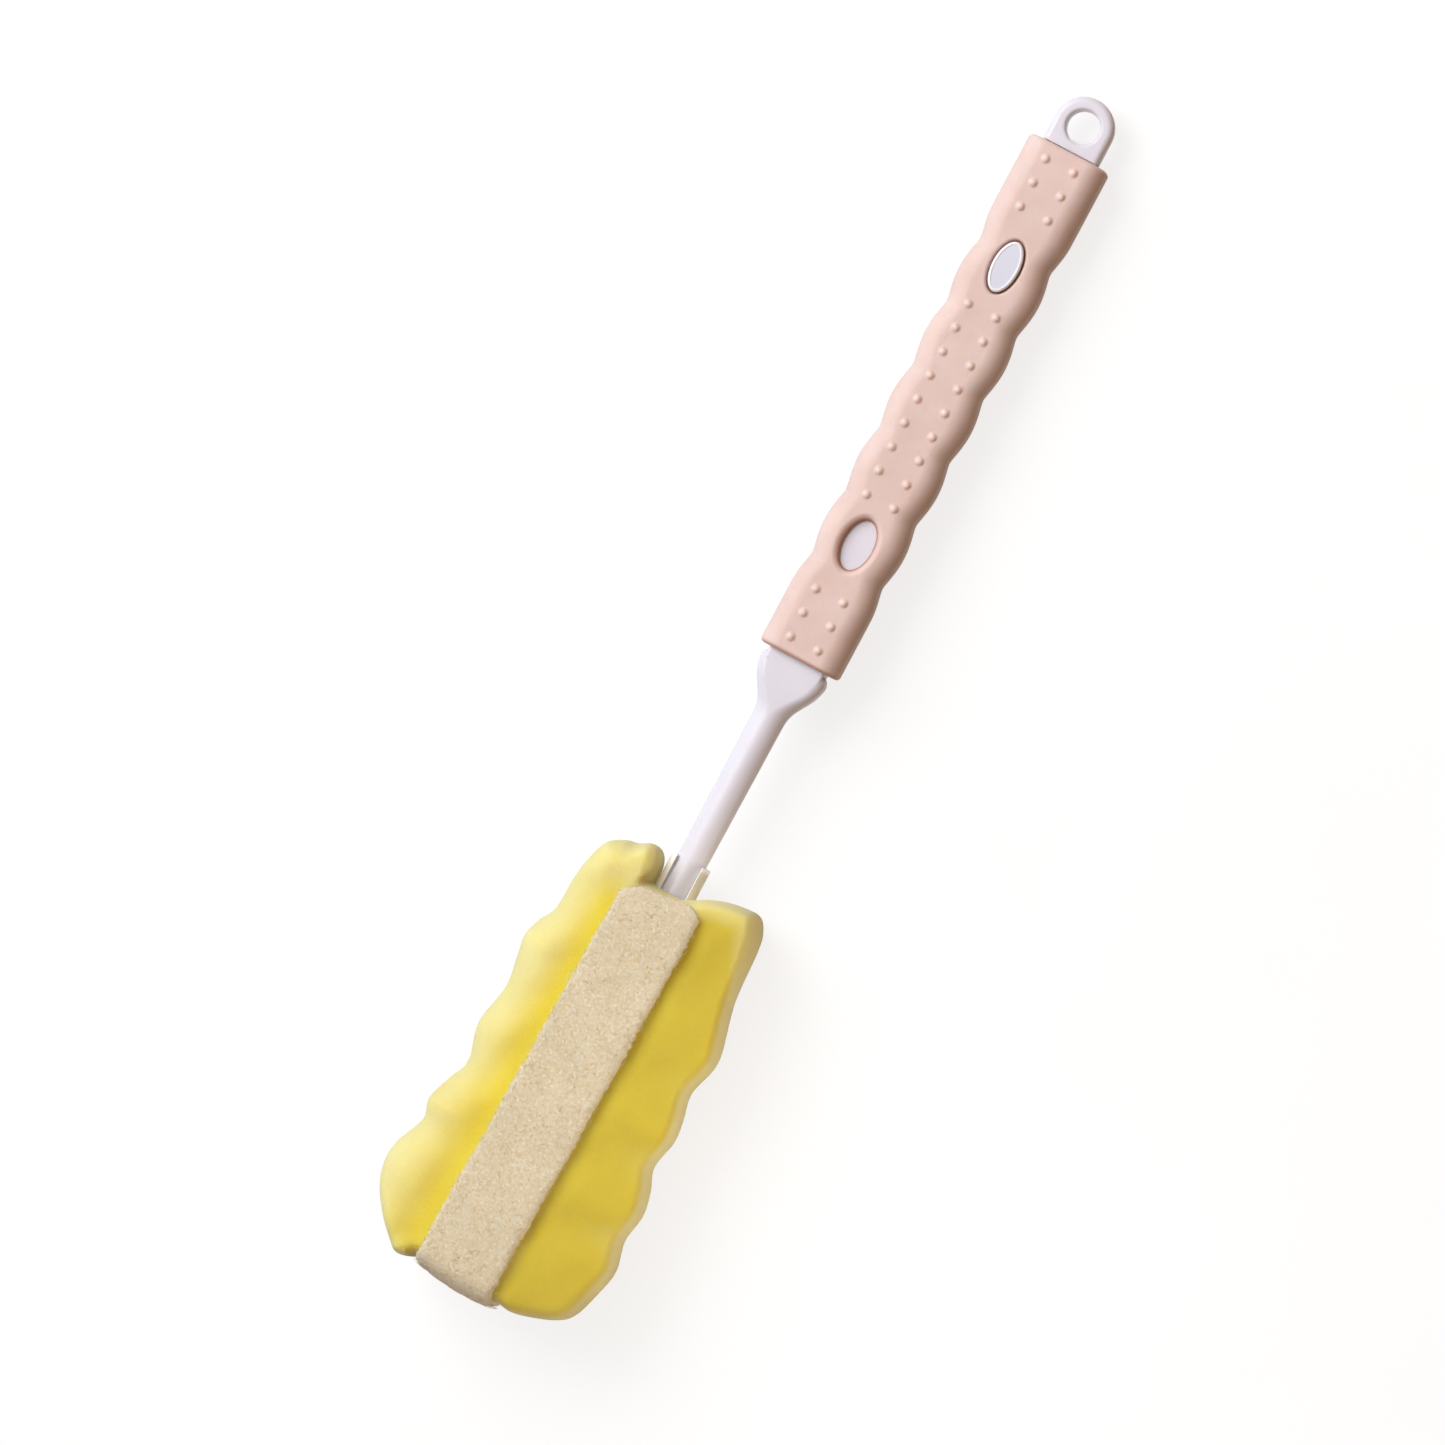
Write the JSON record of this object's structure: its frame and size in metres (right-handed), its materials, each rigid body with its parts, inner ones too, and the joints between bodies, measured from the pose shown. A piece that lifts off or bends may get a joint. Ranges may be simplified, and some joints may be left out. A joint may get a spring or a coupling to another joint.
{
  "type": "sponge bottle brush",
  "caption": "Long-handled sponge brush for bottles and cups: moulded handle with hang eye and soft grip, and a pull-off foam head with a scouring strip.",
  "frame": {"origin": "under the middle of the brush, on the surface it lies on", "axes": "+Y along the brush towards the hang eye, +Z out of the front face, +X to the right of someone facing the front face with the eye up"},
  "size_m": [0.0598, 0.315, 0.0326],
  "materials": {
    "white_plastic": "satin",
    "badge_plastic": "satin",
    "clear_plastic": "gloss",
    "peach_rubber": "matte",
    "yellow_foam": "matte",
    "cream_fibre": "matte"
  },
  "bodies": {
    "handle": {"handle_core": "white_plastic", "grip_sleeve": "peach_rubber", "oval_badge": "badge_plastic"},
    "head": {"head_socket": "clear_plastic", "foam_front": "yellow_foam", "foam_back": "yellow_foam", "scouring_strip": "cream_fibre"}
  },
  "joints": [
    {"name": "head_pull_off", "type": "slide", "parent": "handle", "child": "head", "axis": [0, -1, 0], "range_m": [0, 0.058]}
  ]
}
